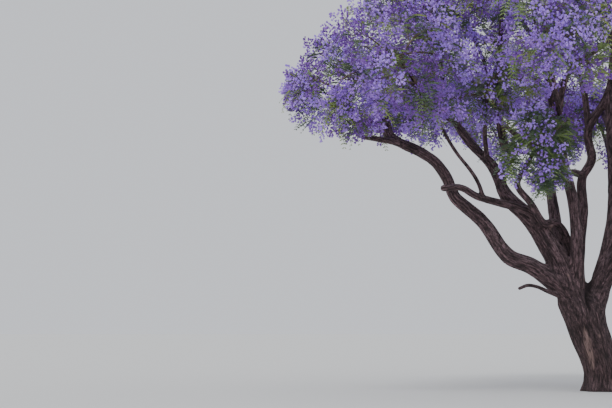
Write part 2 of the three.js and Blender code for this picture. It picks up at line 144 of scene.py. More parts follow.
BOUGHS = [  # name, parent, start or share along it, radius at both ends and taper, crooks, mass at its tip
    ("left_leader", "trunk", (-1.01, 0, 3.03), (0.265, 0.060, 1.7), [
        (-1.53, 0.10, 3.88), (-2.10, 0.30, 4.50), (-2.37, 0.50, 5.19), (-2.87, 0.60, 5.74),
        (-3.24, 0.60, 6.30),
    ], "middle_mass_1"),
    ("road_bough", "trunk", (-0.61, 0, 2.08), (0.240, 0.115, 2), [
        (-1.23, -0.10, 2.59), (-1.64, -0.15, 2.85), (-2.14, -0.15, 3.07), (-2.70, 0, 3.88),
        (-3.05, 0, 4.18), (-3.34, 0, 4.46), (-3.51, 0, 4.88), (-3.77, -0.10, 5.22),
        (-4.14, -0.20, 5.46), (-4.83, -0.30, 5.80),
    ], "skirt_mass_6"),
    ("front_upright", "trunk", (-0.56, -0.06, 2.30), (0.155, 0.060), [
        (-0.58, -0.23, 3.00), (-0.60, -0.25, 3.80), (-0.66, -0.25, 4.35), (-0.88, -0.30, 5.26),
        (-1.12, -0.45, 6.60),
    ], "top_mass_3"),
    ("dark_upright", "trunk", (-0.45, 0.12, 2.15), (0.140, 0.055), [
        (-0.44, 0.28, 2.90), (-0.39, 0.33, 3.50), (-0.31, 0.35, 4.15), (-0.31, 0.40, 4.90),
        (-0.08, 0.40, 5.35), (-0.15, 0.40, 6.00), (0.28, 0.30, 6.86),
    ], "top_mass_4"),
    ("right_leader", "trunk", (0.20, 0, 3.03), (0.235, 0.070), [
        (0.37, 0.08, 3.85), (0.44, 0.20, 4.55), (0.42, 0.22, 5.40), (0.39, 0.22, 6.20),
        (0.43, 0.30, 7.20),
    ], "top_mass_1"),
    ("rear_bough", "trunk", (-0.64, 0.16, 2.50), (0.170, 0.060), [
        (-0.86, 0.62, 3.60), (-0.89, 0.93, 4.20), (-0.90, 1.50, 5.00), (-1.00, 2.50, 5.75),
    ], "skirt_mass_4"),
    ("hooked_bough", "trunk", (-0.48, 0.06, 2.50), (0.115, 0.060), [
        (-0.60, 0.42, 3.20), (-0.77, 0.35, 3.66), (-1.05, 0.02, 3.85), (-1.36, -0.33, 3.83),
        (-1.66, -0.56, 4.23), (-2.02, -0.90, 4.62),
    ], "hanging_mass"),
    ("verge_bough", "trunk", (-0.01, 0, 2.42), (0.200, 0.075), [
        (0.56, 0, 3.00), (1.25, 0.06, 3.38), (2.05, 0.20, 4.00), (2.70, 0.20, 4.45),
        (3.30, 0.15, 5.15),
    ], "skirt_mass_1"),
    ("front_right_bough", "trunk", (0.06, -0.06, 2.60), (0.150, 0.060), [
        (0.33, -0.42, 3.15), (0.64, -1.15, 3.85), (0.80, -2.05, 4.65), (0.95, -3.10, 5.50),
    ], "skirt_mass_9"),
    ("crossing_bough", "left_leader", 0.1, (0.100, 0.072), [
        (-1.50, -0.18, 3.90), (-1.65, -0.27, 4.06), (-1.95, -0.34, 4.16), (-2.30, -0.42, 4.25),
        (-2.90, -0.56, 4.41), (-3.25, -0.56, 4.60), (-3.64, -0.56, 4.59),
    ], None),
    ("road_shoot", "crossing_bough", 0.66, (0.046, 0.034), [
        (-2.88, -0.64, 4.73), (-3.06, -0.74, 4.99), (-3.37, -0.95, 5.33),
    ], "skirt_mass_7"),
    ("road_prong", "road_bough", 0.9, (0.076, 0.048), [
        (-4.96, -0.50, 5.69), (-5.23, -0.75, 5.70), (-5.56, -1.20, 5.72),
    ], "road_tip_mass"),
    ("upright_shoot", "left_leader", 0.4, (0.112, 0.048), [
        (-2.13, 0.26, 5.22), (-2.11, 0.16, 5.48), (-2.20, 0.05, 5.80), (-2.33, -0.20, 6.50),
    ], "middle_mass_2"),
    ("front_prong", "dark_upright", 0.36, (0.085, 0.050), [
        (-0.56, 0.06, 5.01), (-0.80, -0.35, 4.98), (-1.10, -1.00, 5.15), (-1.30, -2.30, 5.90),
    ], "skirt_mass_8"),
    ("low_branch", "trunk", (-0.88, -0.06, 2.13), (0.056, 0.034), [
        (-1.08, -0.22, 2.19), (-1.28, -0.32, 2.26), (-1.53, -0.42, 2.36), (-1.76, -0.52, 2.39),
        (-1.96, -0.62, 2.32),
    ], None),
    ("left_rear_bough", "left_leader", 0.56, (0.085, 0.052), [(-3.15, 1.15, 6.30)], "skirt_mass_5"),
    ("inner_left_branch", "left_leader", 0.52, (0.062, 0.045), [(-2.62, 0, 5.85)], "inner_left_mass"),
    ("rear_left_riser", "rear_bough", 0.55, (0.082, 0.048), [], "middle_mass_7"),
    ("inner_rear_branch", "rear_bough", 0.45, (0.062, 0.045), [], "inner_rear_mass"),
    ("front_riser", "front_upright", 0.52, (0.078, 0.048), [], "middle_mass_3"),
    ("rear_top_riser", "dark_upright", 0.5, (0.078, 0.048), [], "top_mass_2"),
    ("crest_riser", "front_upright", 0.72, (0.068, 0.045), [], "crest_mass"),
    ("front_right_riser", "right_leader", 0.35, (0.090, 0.050), [], "middle_mass_4"),
    ("rear_right_riser", "right_leader", 0.45, (0.088, 0.050), [], "middle_mass_5"),
    ("rear_riser", "right_leader", 0.27, (0.095, 0.050), [], "middle_mass_6"),
    ("rear_right_bough", "right_leader", 0.12, (0.130, 0.058), [], "skirt_mass_2"),
    ("far_rear_bough", "rear_right_bough", 0.3, (0.090, 0.052), [], "skirt_mass_3"),
    ("verge_front_bough", "verge_bough", 0.42, (0.105, 0.055), [], "skirt_mass_10"),
    ("inner_right_branch", "verge_bough", 0.36, (0.070, 0.045), [], "inner_right_mass"),
]
UNDERSIDE = 0.25  # how far below the straight way a bough with no crooks comes to its mass
TIP_PLACE = 0.8  # where a bough ends, as a share of the way from its mass's middle to the edge
AIM = 1.3  # how much more such a bough heads for its mass than along its parent
SWEEP = (0.36, 0.2)  # its bends, as shares of its span from either end
STEM_SHARE = 0.62
STEM_BOW = 0.4
STEM_TIP = 0.022
FILLET = 0.05
FILLET_SHARE = 0.26
ROW_GAP = 0.066
COLUMN_GAP = 0.028
TRUNK_COLUMN_GAP = 0.022
COLUMN_COUNTS = (10, 130)
NEARBY = 0.3  # a length of wood further off than this doesn't matter to a point
BATCH = 20000  # points worked out at a time


def unit(vectors):
    return vectors / np.linalg.norm(vectors, axis=-1, keepdims=True)


class Curve:
    """A smooth curve through crooks, walked by share of its length, with a radius that tapers along it."""

    STEPS = 200
    STRIDE = 1e-4

    def __init__(self, crooks, thick):
        crooks = np.array(crooks, float)
        self.root, self.tip, self.taper = (*thick, 1)[:3]
        self.crooks = np.vstack([2 * crooks[0] - crooks[1], crooks, 2 * crooks[-1] - crooks[-2]])
        self.turns = np.linspace(0, len(crooks) - 1, self.STEPS + 1)
        steps = np.linalg.norm(np.diff(self.between(self.turns), axis=0), axis=1)
        self.walked = np.concatenate([[0], np.cumsum(steps)])
        self.length = self.walked[-1]

    def between(self, turns):
        """Points of a Catmull-Rom curve whose knots are spaced by the root of the gap between crooks."""
        place = np.minimum(turns.astype(int), len(self.crooks) - 4)
        share = (turns - place)[:, None]
        before, here, there, beyond = (self.crooks[place + step] for step in range(4))
        first, middle, last = (
            np.sqrt(np.linalg.norm(end - start, axis=1, keepdims=True))
            for start, end in ((before, here), (here, there), (there, beyond))
        )
        onward = (there - here) / middle
        leaving = ((here - before) / first - (there - before) / (first + middle) + onward) * middle
        arriving = (onward - (beyond - here) / (middle + last) + (beyond - there) / last) * middle
        cubic = 2 * here - 2 * there + leaving + arriving
        square = 3 * there - 3 * here - 2 * leaving - arriving
        return ((cubic * share + square) * share + leaving) * share + here

    def at(self, share):
        turns = np.interp(np.atleast_1d(share) * self.length, self.walked, self.turns)
        points = self.between(turns)
        return points if np.ndim(share) else points[0]

    def along(self, share):
        low, high = max(share - self.STRIDE, 0), min(share + self.STRIDE, 1)
        return unit(self.at(high) - self.at(low))

    def radius(self, share):
        return self.tip + (self.root - self.tip) * (1 - share) ** self.taper


class Wood:
    """A round length of wood: its spine, its radius at each row, and sides square to the spine."""

    STEEP = 0.9
    ROUNDED_TIP = ((0.6, 0.8), (0.92, 0.38))  # each ring's rise and width, in radii

    def __init__(self, spine, radii, columns, fillet):
        self.spine, self.radii, self.columns, self.fillet = spine, radii, columns, fillet
        heading = unit(np.gradient(spine, axis=0))
        side = np.cross(heading[0], (0.3, 0.2, 1) if abs(heading[0][2]) < self.STEEP else (1, 0.2, 0.3))
        self.sides = []
        for direction in heading:
            side = unit(side - direction * (side @ direction))
            self.sides.append(side)
        self.sides = np.array(self.sides)
        self.ups = np.cross(heading, self.sides)
        self.walked = np.concatenate([[0], np.cumsum(np.linalg.norm(np.diff(spine, axis=0), axis=1))])

    def rings(self):
        """Rings of points along the wood, with more past its tip that round off the end."""
        angle = np.linspace(0, 2 * math.pi, self.columns, endpoint=False)[:, None]
        across = np.cos(angle) * self.sides[:, None] + np.sin(angle) * self.ups[:, None]
        rings = self.spine[:, None] + across * self.radii[:, None, None]
        tip = self.spine[-1]
        onward = unit(tip - self.spine[-2]) * self.radii[-1]
        ends = [tip + onward * rise + (rings[-1] - tip) * width for rise, width in self.ROUNDED_TIP]
        return np.concatenate([rings, ends])

    def reach(self, points):
        """How far outside the wood each point is, which way is out, and its place in the bark's grain."""
        start, step = self.spine[:-1], np.diff(self.spine, axis=0)
        share = np.einsum("psk,sk->ps", points[:, None] - start, step) / (step**2).sum(1)
        share = np.clip(share, 0, 1)
        off = points[:, None] - start - share[..., None] * step
        span = np.sqrt((off**2).sum(2))
        gap = span - self.radii[:-1] - share * np.diff(self.radii)
        row = gap.argmin(1)
        each = np.arange(len(points))
        off, span, share = off[each, row], span[each, row], share[each, row]
        out = off / np.maximum(span, 1e-6)[:, None]
        girth = self.radii[row]
        grain = np.stack([
            (out * self.sides[row]).sum(1) * girth,
            (out * self.ups[row]).sum(1) * girth,
            self.walked[row] + share * (self.walked[row + 1] - self.walked[row]),
        ], axis=1)
        return gap[each, row], out, grain, girth


class Column(Wood):
    """The trunk's lower part, an oval column whose foot spreads in lobes."""

    def __init__(self, stations, columns, fillet):
        self.stations, self.columns, self.fillet = stations, columns, fillet
        heights = np.arange(0, stations[-1, 0], ROW_GAP)
        self.heights = np.append(heights, stations[-1, 0])
        self.spine = np.stack([self.station(self.heights, 1), 0 * self.heights, self.heights], axis=1)
        self.radii = np.full(len(self.spine), stations[:, 2].max())

    def station(self, heights, which):
        """A station's value at any height, on a smooth curve through the stations."""
        known, values = self.stations[:, 0], self.stations[:, which]
        slopes = np.gradient(values, known)
        row = np.clip(np.searchsorted(known, heights) - 1, 0, len(known) - 2)
        gap = known[row + 1] - known[row]
        share = np.clip((heights - known[row]) / gap, 0, 1)
        rest = 1 - share
        low = (1 + 2 * share) * rest**2 * values[row] + share * rest**2 * gap * slopes[row]
        high = share**2 * (3 - 2 * share) * values[row + 1]
        return low + high + share**2 * (share - 1) * gap * slopes[row + 1]

    def swell(self, heights, angle):
        lobes = 1 + LOBE_DEPTH * np.cos(ROOT_LOBES * angle + LOBE_TURN)
        return 1 + ROOT_FLARE * np.exp(-heights / ROOT_HEIGHT) * lobes

    def rings(self):
        angle = np.linspace(0, 2 * math.pi, self.columns, endpoint=False)
        heights = self.heights[:, None]
        swell = self.swell(heights, angle)
        across = self.station(heights, 2) * swell * np.cos(angle)
        deep = self.station(heights, 3) * swell * np.sin(angle)
        return np.stack([self.station(heights, 1) + across, deep, heights + 0 * angle], axis=2)

    def reach(self, points):
        heights = points[:, 2]
        wide, deep = self.station(heights, 2), self.station(heights, 3)
        off = np.stack([points[:, 0] - self.station(heights, 1), points[:, 1]], axis=1)
        angle = np.arctan2(off[:, 1] / deep, off[:, 0] / wide)
        edge = np.stack([wide * np.cos(angle), deep * np.sin(angle)], axis=1)
        edge *= self.swell(heights, angle)[:, None]
        span = np.linalg.norm(edge, axis=1)
        gap = np.linalg.norm(off, axis=1) - span
        gap = np.maximum(gap, heights - self.stations[-1, 0])
        out = np.column_stack([edge / span[:, None], 0 * heights])
        girth = np.full(len(heights), TRUNK_RADIUS)
        return gap, out, np.column_stack([np.cos(angle) * girth, np.sin(angle) * girth, heights]), girth


def bough_crooks(start, crooks, mass, parent, at):
    """A bough's crooks, up to the near side of its mass. With none given it grows there in one sweep."""
    crooks = [np.array(crook) for crook in crooks]
    if mass is None:
        return [start, *crooks]
    centre, reach = masses[mass]
    inward = (crooks[-1] if crooks else start) - centre
    if not crooks:
        inward[2] -= UNDERSIDE * np.linalg.norm(inward)
    inward = unit(inward)
    tip = centre + inward * TIP_PLACE / math.hypot(math.hypot(*inward[:2]) / reach[0], inward[2] / reach[1])
    if crooks:
        return [start, *crooks, tip]
    span = np.linalg.norm(tip - start)
    leaving = unit(parent.along(at) + (tip - start) * AIM / span)
    return [start, start + leaving * SWEEP[0] * span, tip + inward * SWEEP[1] * span, tip]


def columns_for(radius, gap=COLUMN_GAP):
    return int(np.clip(2 * math.pi * radius / gap, *COLUMN_COUNTS))


def rows_of(curve):
    shares = np.linspace(0, 1, max(4, round(curve.length / ROW_GAP)) + 1)
    return curve.at(shares), curve.radius(shares)


wood = [Column(COLUMN, columns_for(TRUNK_RADIUS, TRUNK_COLUMN_GAP), FILLET)]
boughs, stems = {}, {}
for place, (name, parent, start, thick, crooks, mass) in enumerate(BOUGHS):
    at = start if parent != "trunk" else 0
    start = np.array(start) if parent == "trunk" else boughs[parent].at(start)
    bough = Curve(bough_crooks(start, crooks, mass, boughs.get(parent), at), thick)
    boughs[name] = bough
    spine, radii = rows_of(bough)
    if name in FORK:
        fork_spine, fork_radii = rows_of(Curve(*FORK[name]))
        spine, radii = np.vstack([fork_spine[:-1], spine]), np.append(fork_radii[:-1], radii)
    if mass:
        foot, heading = bough.at(1.0), bough.along(1)
        far = (masses[mass][0] - foot) * 2 * STEM_SHARE
        bend = foot + heading * STEM_BOW * np.linalg.norm(far)
        stem = Curve([foot, bend, foot + far], (thick[1], STEM_TIP))
        stems[mass] = (stem, heading, place)
        stem_spine, stem_radii = rows_of(stem)
        spine, radii = np.vstack([spine, stem_spine[1:]]), np.append(radii, stem_radii[1:])
    wood.append(Wood(spine, radii, columns_for(radii[0]), min(FILLET, FILLET_SHARE * radii[0])))


def near_wood(points):
    """Each length of wood with the points that lie near it, and how they lie to it."""
    for number, length in enumerate(wood):
        room = length.radii.max() + NEARBY
        near = np.all((points > length.spine.min(0) - room) & (points < length.spine.max(0) + room), axis=1)
        for rows in np.array_split(np.flatnonzero(near), near.sum() // BATCH + 1):
            yield number, length, rows, length.reach(points[rows])


# The bark: thick, dark grey-brown, split by long furrows along the grain, with small cracked plates between
# them. The lengths of wood are joined into one closed skin, drawn smoothly over their forks, and pressed in
# along the furrows.
FLAT_CUT = 1e-4  # points of the trunk's foot lie below this height, and stay there
FIELD_RANGE = (-30, 12)
SETTLE_ROUNDS = 4
SETTLE_STEP = 0.05  # how far at most a point moves in one round
LUMP_SIZE = 0.45
LUMP_HEIGHT = 0.07  # as a share of the girth
FURROW_WIDTH = 0.055
FURROW_STRETCH = 0.16
FURROW_WAVER = 0.35
FURROW_EDGE = 0.14
FURROW_DEPTH = 0.016
RIDGE_RISE = 0.3  # how much of that depth is the ridges' rise above the wood's own surface
THICK_GIRTH = 0.3  # from this radius up the furrows have their full depth
THIN_SHARE = 0.08  # of that depth, on the thinnest limbs
GRAIN_APART = 7.3  # how far each length's pattern starts from the last one's
GRAIN_WAVES = ((9.1, 14.3, 5.2), (19.3, -8.7, 11.9))  # where one length's grain gives way to another's
SEAM_GIRTH = 0.1  # limbs thinner than this keep clear of the cleft
CLEFT_SHADE_DEPTH = 0.045  # painted shade: where the cleft is this deep it is painted as dark as a furrow
SEAM = [  # the cleft below the fork: across, height, half its width and its depth
    (-0.27, 2.50, 0.10, 0.030),
    (-0.30, 2.36, 0.08, 0.050),
    (-0.36, 2.13, 0.060, 0.070),
    (-0.35, 1.96, 0.055, 0.070),
    (-0.31, 1.85, 0.045, 0.055),
    (-0.33, 1.80, 0.035, 0.040),
    (-0.35, 1.60, 0.025, 0.010),
]
WORN_STRIP = [  # down the trunk's front: across, height and half its width
    (-0.46, 1.46, 0.03),
    (-0.41, 1.15, 0.08),
    (-0.33, 0.76, 0.07),
    (-0.28, 0.52, 0.03),
]
KNOT_HEIGHT = 0.6  # as a share of its size
KNOTS = [  # across, height and size of each, on the front
    (-0.40, 2.53, 0.040),
    (-0.52, 2.63, 0.022),
    (-0.79, 2.62, 0.024),
    (-0.84, 3.15, 0.024),
    (-0.13, 1.24, 0.030),
    (-1.14, 3.73, 0.055),
]


def put(name, data):
    """A new object in the scene."""
    thing = bpy.data.objects.new(name, data)
    bpy.context.scene.collection.objects.link(thing)
    return thing


def closed_tube(name, rings):
    """A mesh round rings of points, closed at both ends."""
    rows, columns = rings.shape[:2]
    place = np.arange(rows * columns).reshape(rows, columns)
    around = np.roll(place, -1, axis=1)
    quads = np.stack([place[:-1], around[:-1], around[1:], place[1:]], axis=2).reshape(-1, 4)
    mesh = bpy.data.meshes.new(name)
    ends = [tuple(place[0][::-1]), tuple(place[-1])]
    mesh.from_pydata(rings.reshape(-1, 3), [], quads.tolist() + ends)
    return mesh


tubes = bpy.data.collections.new("tubes")
bpy.context.scene.collection.children.link(tubes)
for number, length in enumerate(wood[1:]):
    tubes.objects.link(bpy.data.objects.new(f"tube_{number}", closed_tube(f"tube_{number}", length.rings())))
joined = put("joined", closed_tube("joined", wood[0].rings()))
union = joined.modifiers.new("union", "BOOLEAN")
union.operation = "UNION"
union.operand_type = "COLLECTION"
union.collection = tubes
union.solver = "MANIFOLD"
bark_mesh = bpy.data.meshes.new_from_object(joined.evaluated_get(bpy.context.evaluated_depsgraph_get()))
bark_mesh.name = "bark"
for spare in [joined, *tubes.objects]:
    bpy.data.objects.remove(spare)
bpy.data.collections.remove(tubes)
points = np.empty(len(bark_mesh.vertices) * 3)
bark_mesh.vertices.foreach_get("co", points)
points = points.reshape(-1, 3)


def wood_field(points):
    """The joined wood's level, 0 on its surface, its slope, and the girth and the place in the grain there.

    The level rounds off the crease where two lengths meet, but adds nothing where they run on as one. The
    grain of one length gives way to the other's in patches there.
    """
    total = np.full(len(points), 1e-12)
    nearness = np.zeros(len(points))
    slope = np.zeros_like(points)
    facing = np.zeros_like(points)
    girth = np.zeros(len(points))
    grain = np.zeros_like(points)
    strongest = np.zeros(len(points))
    for number, length, rows, (gap, out, place, thick) in near_wood(points):
        near = np.clip(-gap / length.fillet, *FIELD_RANGE)
        pull = np.exp(near)
        total[rows] += pull
        nearness[rows] += pull * near
        slope[rows] += out * (pull / length.fillet)[:, None]
        facing[rows] += out * pull[:, None]
        girth[rows] += pull * thick
        long_wave, short_wave = (points[rows] @ wave for wave in GRAIN_WAVES)
        hold = pull * np.exp(2 * (np.sin(long_wave + 2.1 * number) * np.sin(short_wave + number)))
        stronger = hold > strongest[rows]
        strongest[rows[stronger]] = hold[stronger]
        grain[rows[stronger]] = place[stronger] + (0, 0, GRAIN_APART * number)
    accord = ((facing / total[:, None]) ** 2).sum(1) ** 4
    level = np.log(total) - accord * (np.log(total) - nearness / total)
    return level, slope / total[:, None], girth / total, grain


def along_path(points, path):
    """How far each point is from a path over the trunk's front, and the path's values nearest to it."""
    path = np.array(path)
    start, step = path[:-1], np.diff(path, axis=0)
    off = points[:, None, ::2] - start[:, :2]
    share = np.clip((off * step[:, :2]).sum(2) / (step[:, :2] ** 2).sum(1), 0, 1)
    gap = np.linalg.norm(off - share[..., None] * step[:, :2], axis=2)
    row = gap.argmin(1)
    each = np.arange(len(points))
    return gap[each, row], *(start[row, 2:] + share[each, row][:, None] * step[row, 2:]).T


foot = points[:, 2] < FLAT_CUT
for _ in range(SETTLE_ROUNDS):
    level, slope, girth, grain = wood_field(points)
    move = slope * (level / (slope**2).sum(1))[:, None]
    span = np.linalg.norm(move, axis=1)
    move *= np.minimum(1, SETTLE_STEP / np.maximum(span, 1e-9))[:, None]
    move[foot] = 0
    points += move
out = unit(slope)
furrow = np.empty(len(points))
lump = np.empty(len(points))
squash = np.array([1 / FURROW_WIDTH, 1 / FURROW_WIDTH, FURROW_STRETCH / FURROW_WIDTH])
for row, (place, spot) in enumerate(zip(grain * squash, points / LUMP_SIZE)):
    waver = noise.noise(Vector(place * FURROW_WAVER))
    furrow[row] = abs(noise.noise(Vector(place + waver)))
    lump[row] = noise.noise(Vector(spot))
furrow = np.exp(-((furrow / FURROW_EDGE) ** 2))
depth = FURROW_DEPTH * np.clip(girth / THICK_GIRTH, THIN_SHARE, 1)
shift = lump * LUMP_HEIGHT * girth - (furrow - RIDGE_RISE) * depth
gap, half, deep = along_path(points, SEAM)
cleft = np.exp(-((gap / half) ** 2)) * (girth > SEAM_GIRTH)
shift -= cleft * deep
# painted shade in the cleft below the fork, darker the deeper it is
furrow = np.maximum(furrow, np.clip(cleft * deep / CLEFT_SHADE_DEPTH, 0, 1))
is_front = points[:, 1] < 0
gap, half = along_path(points, WORN_STRIP)
worn = is_front * np.exp(-((gap / half) ** 4)) * np.clip(1 - furrow, 0, 1)
for across, height, size in KNOTS:
    knot = is_front * np.exp(-(((points[:, 0] - across) ** 2 + (points[:, 2] - height) ** 2) / size**2) ** 2)
    shift += knot * KNOT_HEIGHT * size
    worn += knot
    furrow *= 1 - knot
shift[foot] = 0
points += out * shift[:, None]
bark_mesh.vertices.foreach_set("co", points.ravel())
bark_mesh.attributes.new("grain", "FLOAT_VECTOR", "POINT").data.foreach_set("vector", grain.ravel())
bark_mesh.attributes.new("furrow", "FLOAT", "POINT").data.foreach_set("value", furrow)
bark_mesh.attributes.new("worn", "FLOAT", "POINT").data.foreach_set("value", np.clip(worn, 0, 1))
bark_mesh.polygons.foreach_set("use_smooth", np.ones(len(bark_mesh.polygons), bool))
bark_mesh.update()
bark = put("bark", bark_mesh)

FLAKE_TONES = ("312326", "86696e")  # between the flakes of bark, and on them
DUSTY = "8a7074"
DAMP = "1f1718"
PAINTED_TOP_LIGHT = "9a8489"  # painted light: the upper sides paler, as if lit from above
FOOT_SHADE = "34251f"  # painted shade on the trunk, deeper towards its foot
FOOT_SHADE_HEIGHT = 2.7
CRACK = "1d1315"
FURROW = "150e0f"
FIBRE = "544345"
RUBBED = "a1857e"
FLAKE_STRETCH = (1, 1, 0.13)
PLATE_STRETCH = (1, 1, 0.24)
PLATE_WAVER = (0.05, 0.05, 0.05)


class Shade:
    """One value, colour or vector of a material's nodes. Sums and products of values add Math nodes."""

    def __init__(self, tree, socket=None):
        self.tree, self.socket = tree, socket

    def add(self, kind, settings=None, inputs=None, output=0):
        node = self.tree.nodes.new(kind)
        for setting, value in (settings or {}).items():
            if setting == "stops":
                ramp = node.color_ramp.elements
                while len(ramp) < len(value):
                    ramp.new(0.5)
                for stop, (place, tone) in zip(ramp, value):
                    stop.position = place
                    stop.color = (*tone, 1)
            else:
                setattr(node, setting, value)
        for name, value in (inputs or {}).items():
            if isinstance(value, Shade):
                self.tree.links.new(value.socket, node.inputs[name])
            else:
                node.inputs[name].default_value = value
        return Shade(self.tree, node.outputs[output])

    def maths(self, operation, other):
        return self.add("ShaderNodeMath", {"operation": operation}, {0: self, 1: other})

    def __add__(self, other):
        return self.maths("ADD", other)

    def __sub__(self, other):
        return self.maths("SUBTRACT", other)

    def __mul__(self, other):
        return self.maths("MULTIPLY", other)

    def __rsub__(self, other):
        return self.add("ShaderNodeMath", {"operation": "SUBTRACT"}, {0: other, 1: self})

    __radd__ = __add__
    __rmul__ = __mul__

    def clamped(self):
        return self.add("ShaderNodeClamp", None, {0: self})

    def above(self, level, sharpness):
        """How far this value is above a level, from 0 to 1."""
        return ((self - level) * sharpness).clamped()

    def below(self, level, sharpness):
        return ((level - self) * sharpness).clamped()

    def stretched(self, by):
        return self.add("ShaderNodeVectorMath", {"operation": "MULTIPLY"}, {0: self, 1: by})

    def mixed(self, first, second):
        """This value's share of the second colour in the first."""
        inputs = {0: self, 6: first, 7: second}
        return self.add("ShaderNodeMix", {"data_type": "RGBA"}, inputs, 2)

    def noise(self, place, scale, detail, roughness=0.5, output=0):
        """Cloudy noise over a place, as a value or as its output named Color."""
        inputs = {"Vector": place, "Scale": scale, "Detail": detail, "Roughness": roughness}
        return self.add("ShaderNodeTexNoise", None, inputs, output)

    def feeds(self, name):
        self.tree.links.new(self.socket, self.tree.nodes["Principled BSDF"].inputs[name])


def finish(name, roughness):
    """A material, and the maker of its nodes."""
    material = bpy.data.materials.new(name)
    material.use_nodes = True
    material.node_tree.nodes["Principled BSDF"].inputs["Roughness"].default_value = roughness
    return material, Shade(material.node_tree)


def colour(code):
    """A hexadecimal colour as the linear values that shaders take."""
    parts = [int(code[i:i + 2], 16) / 255 for i in (0, 2, 4)]
    return tuple(part / 12.92 if part <= 0.04045 else ((part + 0.055) / 1.055) ** 2.4 for part in parts)


def rgba(code):
    return (*colour(code), 1)


bark_finish, nodes = finish("bark", roughness=0.92)
grain_place = nodes.add("ShaderNodeAttribute", {"attribute_name": "grain"}, None, "Vector")
furrow_and_cleft_shade_mask = nodes.add("ShaderNodeAttribute", {"attribute_name": "furrow"}, None, "Fac")
worn_mask = nodes.add("ShaderNodeAttribute", {"attribute_name": "worn"}, None, "Fac")
flake_place = grain_place.stretched(FLAKE_STRETCH)
fibre = nodes.noise(flake_place, scale=60, detail=5, roughness=0.65)
flakes = nodes.noise(flake_place, scale=33, detail=3, roughness=0.6)
patches = nodes.noise(grain_place, scale=1.7, detail=3)
waver = nodes.noise(grain_place, scale=14, detail=3, output="Color")
wavering = {0: waver, 1: PLATE_WAVER, 2: grain_place.stretched(PLATE_STRETCH)}
plate_place = nodes.add("ShaderNodeVectorMath", {"operation": "MULTIPLY_ADD"}, wavering)
by_edge = {"feature": "DISTANCE_TO_EDGE"}
plates = nodes.add("ShaderNodeTexVoronoi", by_edge, {"Vector": plate_place, "Scale": 30}, "Distance")
crack = plates.below(0.11, sharpness=11)
flake_tones = [(place, colour(code)) for place, code in zip((0.34, 0.66), FLAKE_TONES)]
tone = nodes.add("ShaderNodeValToRGB", {"stops": flake_tones}, {0: flakes})
tone = patches.above(0.58, sharpness=5).mixed(tone, rgba(DUSTY))
tone = (patches.below(0.47, sharpness=4) * 0.6).mixed(tone, rgba(DAMP))
normal = nodes.add("ShaderNodeNewGeometry", None, None, "Normal")
facing_up = nodes.add("ShaderNodeSeparateXYZ", None, {0: normal}, "Z")
# painted light: the bark's upper sides paler, as if lit by the sky above
tone = (facing_up.above(-0.1, sharpness=1) * 0.6).mixed(tone, rgba(PAINTED_TOP_LIGHT))
position = nodes.add("ShaderNodeNewGeometry", None, None, "Position")
above_ground = nodes.add("ShaderNodeSeparateXYZ", None, {0: position}, "Z")
# painted shade: the bark darker towards the ground
tone = (above_ground.below(FOOT_SHADE_HEIGHT, sharpness=0.7) * 0.5).mixed(tone, rgba(FOOT_SHADE))
tone = (crack * 0.7).mixed(tone, rgba(CRACK))
# dark furrows, and painted shade in the cleft below the fork
tone = (furrow_and_cleft_shade_mask * 0.9).mixed(tone, rgba(FURROW))
tone = fibre.above(0.47, sharpness=1.2).mixed(tone, rgba(FIBRE))
rubbed = worn_mask * (flakes * 1.6 - 0.15).clamped() * 0.85
rubbed.mixed(tone, rgba(RUBBED)).feeds("Base Color")
height = fibre * 0.5 + flakes + (1 - crack) * 0.8
nodes.add("ShaderNodeBump", None, {"Strength": 0.9, "Distance": 0.014, "Height": height}).feeds("Normal")
bark.data.materials.clear()
bark.data.materials.append(bark_finish)
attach(bark, "root")
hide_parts("trunk", *(row[0] for row in BOUGHS))

# Twigs. Inside each mass six fan out from its stem, and each carries sprays of finer twigs: the three that
# the solids have, and four more between them. A spray that would leave the mass's space or touch a limb is
# turned and made smaller, and is left out if that doesn't help.
GOLDEN_ANGLE = math.pi * (3 - math.sqrt(5))
FIRST_SEED = 9001
SEED_STEP = 37  # from one bough's mass to the next one's
TWIGS = 6
TWIG_ROOTS = (0.3, 0.65)  # the lowest root's place on the stem, and how much further up the highest may be
TWIG_REACH = 0.56
TWIG_BOW = 0.12
TWIG_THICK = (0.026, 0.013)
TWIG_ROWS = 9
SPRAYS_ON_TWIG = (0.4, 0.7, 1)
SPRAYS_BETWEEN = (0.28, 0.55, 0.85, 0.97)
BETWEEN_SIZES = (0.8, 1)
SIDE_SPRAY = (0.45, 0.9)  # how far it points along its twig and aside
END_SPRAY = (1, 0.4)
OUTWARD = 0.4
QUARTER_TURNS = (0, 1.57, 3.14, 4.71)
TRIES = 6
SHRINK = 0.9
LEAF_EVERY = 3  # of the solids' side sprays, how many there are to each one of leaves
LEAF_BETWEEN = 5  # the same, of the sprays between them, with fewer in the greener masses
LEAF_BETWEEN_IN = {"hanging_mass": 1, "skirt_mass_8": 4, "inner_right_mass": 2, "skirt_mass_9": 3}
SPRAY_SIZES = (0.85, 0.3)  # the smallest, and how much larger they grow
BLOSSOM_SPRAY = (1.00, 0.45, 0.22)  # length, place of its widest part and half the width there
LEAF_SPRAY = (1.25, 0.55, 0.29)
SPRAY_STALK = 0.75  # of a spray's length
SPRAY_BOW = 0.08
SPRAY_THICK = (0.010, 0.004)
SPRAY_ROWS = 5
TWIG_SIDES = 6
FINE_SIDES = 3
rng = np.random.default_rng(71)


def wood_gap(points):
    """How far each point is from the nearest length of wood."""
    nearest = np.full(len(points), 1.0)
    for _, _, rows, (gap, *_) in near_wood(points):
        nearest[rows] = np.minimum(nearest[rows], gap)
    return nearest


def square_to(ways):
    """Two directions square to each of the given ones, the first of them level."""
    level = np.stack([-ways[..., 1], ways[..., 0], 0 * ways[..., 0]], axis=-1)
    level[(level**2).sum(-1) < 0.01] = (1, 0, 0)
    level = unit(level)
    return level, unit(np.cross(ways, level))


def around(ways, angle):
    """The direction at an angle round each way."""
    level, up = square_to(ways)
    return level * np.cos(angle)[..., None] + up * np.sin(angle)[..., None]


